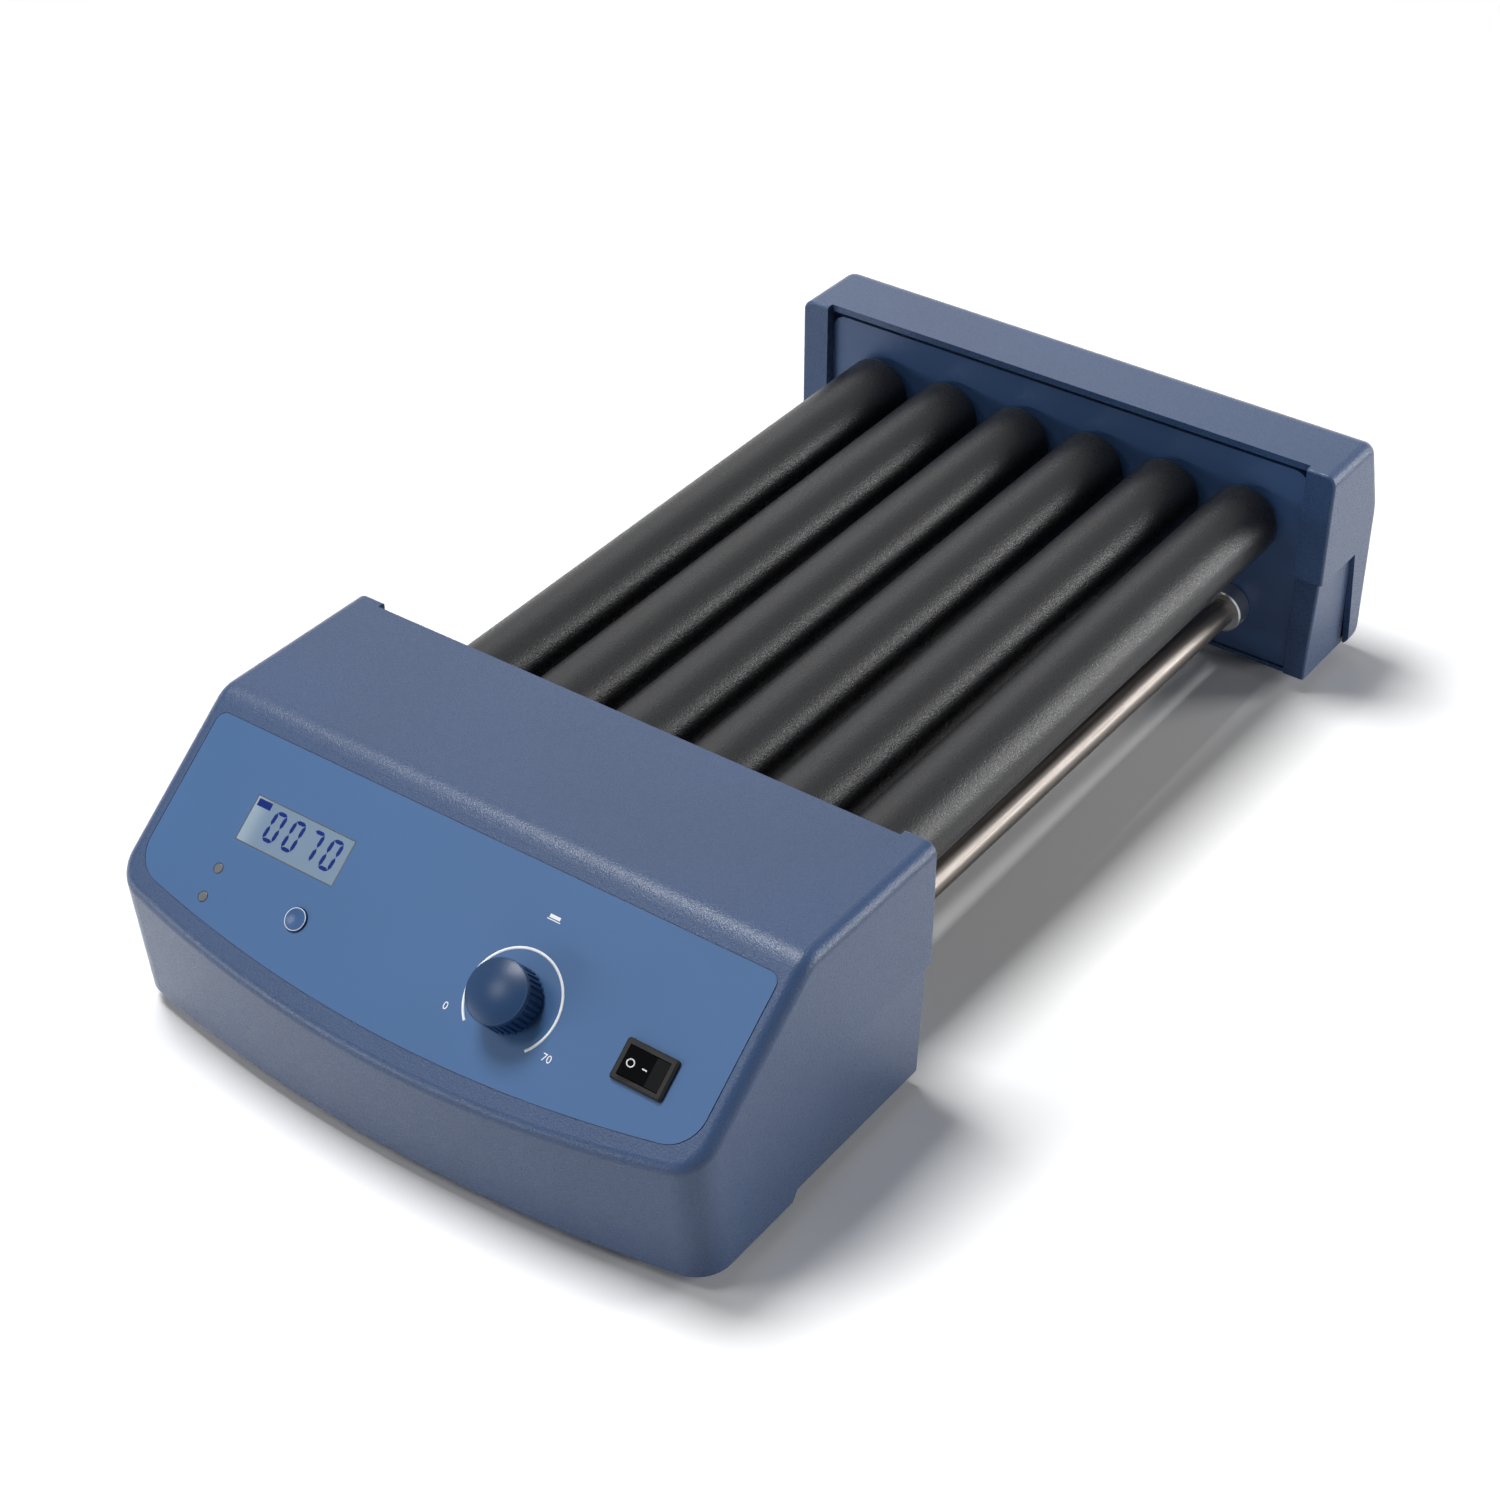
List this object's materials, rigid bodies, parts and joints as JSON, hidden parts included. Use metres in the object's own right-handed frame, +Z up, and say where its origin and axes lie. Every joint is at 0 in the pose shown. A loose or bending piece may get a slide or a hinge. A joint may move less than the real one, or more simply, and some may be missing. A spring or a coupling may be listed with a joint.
{
  "type": "tube roller mixer",
  "caption": "Bench mixer that rolls and rocks sample tubes on a bed of geared, off-centre rollers between a sloping control housing and an end housing.",
  "frame": {"origin": "middle of the footprint, on the plane under the rubber feet", "axes": "+X across the rollers to the power switch side, +Y along the rollers from the control housing to the end housing, +Z up"},
  "size_m": [0.2651, 0.4957, 0.11],
  "materials": {
    "housing": "fine grained moulding, blue grey",
    "plate": "dark blue satin coat",
    "film": "satin blue overlay",
    "roller": "matte black moulding",
    "gear": "natural acetal",
    "steel": "turned stainless steel",
    "zinc": "bright zinc plate",
    "dark_steel": "dark polished steel",
    "bronze": "sintered bronze",
    "aluminium": "plain rolled sheet",
    "board": "green solder mask",
    "component": "black component body",
    "lcd": "reflective display glass",
    "light": "unlit diffused lens",
    "button": "satin blue key",
    "knob": "satin dark blue",
    "black_gloss": "glossy black",
    "black_matte": "black moulding",
    "rubber": "black rubber"
  },
  "bodies": {
    "frame": {"board_components": "component", "collar_set_screws": "dark_steel", "control_board": "board", "display_board": "board", "display_module": "lcd", "drive_motor": "zinc", "encoder_body": "component", "encoder_nut": "zinc", "end_base": "housing", "end_bearing_plate": "plate", "end_bushes": "bronze", "end_cover": "housing", "front_base": "housing", "front_bearing_plate": "plate", "front_bushes": "bronze", "front_cover": "housing", "housing_screws": "zinc", "idler_pins": "steel", "mechanism_screws": "zinc", "motor_plate": "aluminium", "motor_posts": "zinc", "overlay_film": "film", "power_inlet": "black_matte", "rod_collars": "dark_steel", "rod_end_screws": "zinc", "rubber_feet": "rubber", "status_lights": "light", "switch_body": "black_matte", "tie_rod_left": "steel", "tie_rod_right": "steel"},
    "roller_1": {"roller_1_sleeve": "roller", "roller_1_ends": "steel", "roller_1_gear": "gear"},
    "roller_2": {"roller_2_sleeve": "roller", "roller_2_ends": "steel", "roller_2_gear": "gear"},
    "roller_3": {"roller_3_sleeve": "roller", "roller_3_ends": "steel", "roller_3_gear": "gear"},
    "roller_4": {"roller_4_sleeve": "roller", "roller_4_ends": "steel", "roller_4_gear": "gear"},
    "roller_5": {"roller_5_sleeve": "roller", "roller_5_ends": "steel", "roller_5_gear": "gear"},
    "roller_6": {"roller_6_sleeve": "roller", "roller_6_ends": "steel", "roller_6_gear": "gear"},
    "idler_1": {"idler_gear_1": "gear"},
    "idler_2": {"idler_gear_2": "gear"},
    "idler_3": {"idler_gear_3": "gear"},
    "idler_4": {"idler_gear_4": "gear"},
    "idler_5": {"idler_gear_5": "gear"},
    "motor_drive": {"motor_shaft": "steel", "motor_pinion": "bronze"},
    "encoder_push": {"encoder_slider": "gear"},
    "knob": {"speed_knob": "knob", "encoder_shaft": "steel"},
    "mode_key": {"mode_button": "button"},
    "power_switch": {"power_rocker": "black_gloss"}
  },
  "joints": [
    {"name": "roller_1_spin", "type": "hinge", "parent": "frame", "child": "roller_1", "pos_m": [-0.0925, -0.1095, 0.0725], "axis": [0, 1, 0], "continuous": true},
    {"name": "roller_2_spin", "type": "hinge", "parent": "frame", "child": "roller_2", "pos_m": [-0.0555, -0.1095, 0.0725], "axis": [0, 1, 0], "continuous": true},
    {"name": "roller_3_spin", "type": "hinge", "parent": "frame", "child": "roller_3", "pos_m": [-0.0185, -0.1095, 0.0725], "axis": [0, 1, 0], "continuous": true},
    {"name": "roller_4_spin", "type": "hinge", "parent": "frame", "child": "roller_4", "pos_m": [0.0185, -0.1095, 0.0725], "axis": [0, 1, 0], "continuous": true},
    {"name": "roller_5_spin", "type": "hinge", "parent": "frame", "child": "roller_5", "pos_m": [0.0555, -0.1095, 0.0725], "axis": [0, 1, 0], "continuous": true},
    {"name": "roller_6_spin", "type": "hinge", "parent": "frame", "child": "roller_6", "pos_m": [0.0925, -0.1095, 0.0725], "axis": [0, 1, 0], "continuous": true},
    {"name": "idler_1_spin", "type": "hinge", "parent": "frame", "child": "idler_1", "pos_m": [-0.074, -0.1095, 0.0725], "axis": [0, 1, 0], "continuous": true},
    {"name": "idler_2_spin", "type": "hinge", "parent": "frame", "child": "idler_2", "pos_m": [-0.037, -0.1095, 0.0725], "axis": [0, 1, 0], "continuous": true},
    {"name": "idler_3_spin", "type": "hinge", "parent": "frame", "child": "idler_3", "pos_m": [0, -0.1095, 0.0725], "axis": [0, 1, 0], "continuous": true},
    {"name": "idler_4_spin", "type": "hinge", "parent": "frame", "child": "idler_4", "pos_m": [0.037, -0.1095, 0.0725], "axis": [0, 1, 0], "continuous": true},
    {"name": "idler_5_spin", "type": "hinge", "parent": "frame", "child": "idler_5", "pos_m": [0.074, -0.1095, 0.0725], "axis": [0, 1, 0], "continuous": true},
    {"name": "motor_spin", "type": "hinge", "parent": "frame", "child": "motor_drive", "pos_m": [-0.0185, -0.1095, 0.0545], "axis": [0, 1, 0], "continuous": true},
    {"name": "knob_push", "type": "slide", "parent": "frame", "child": "encoder_push", "axis": [0, 0.6225, -0.7826], "range_m": [0, 0.001], "stiffness_N_per_m": 1500, "springref_m": -0.0005},
    {"name": "knob_turn", "type": "hinge", "parent": "encoder_push", "child": "knob", "pos_m": [0.0409, -0.2166, 0.07564], "axis": [0, -0.6225, 0.7826], "continuous": true},
    {"name": "mode_button_push", "type": "slide", "parent": "frame", "child": "mode_key", "axis": [0, 0.6225, -0.7826], "range_m": [0, 0.0005], "stiffness_N_per_m": 1500, "springref_m": -0.0003},
    {"name": "power_rock", "type": "hinge", "parent": "frame", "child": "power_switch", "pos_m": [0.0976, -0.2172, 0.07567], "axis": [0, 0.7826, 0.6225], "range_deg": [-15, 0]}
  ],
  "couplings": [
    {"joint": "roller_2_spin", "follows": "roller_1_spin", "ratio": 1},
    {"joint": "roller_3_spin", "follows": "roller_1_spin", "ratio": 1},
    {"joint": "roller_4_spin", "follows": "roller_1_spin", "ratio": 1},
    {"joint": "roller_5_spin", "follows": "roller_1_spin", "ratio": 1},
    {"joint": "roller_6_spin", "follows": "roller_1_spin", "ratio": 1},
    {"joint": "idler_1_spin", "follows": "roller_1_spin", "ratio": -1.4667},
    {"joint": "idler_2_spin", "follows": "roller_1_spin", "ratio": -1.4667},
    {"joint": "idler_3_spin", "follows": "roller_1_spin", "ratio": -1.4667},
    {"joint": "idler_4_spin", "follows": "roller_1_spin", "ratio": -1.4667},
    {"joint": "idler_5_spin", "follows": "roller_1_spin", "ratio": -1.4667},
    {"joint": "motor_spin", "follows": "roller_1_spin", "ratio": -1.5714}
  ]
}
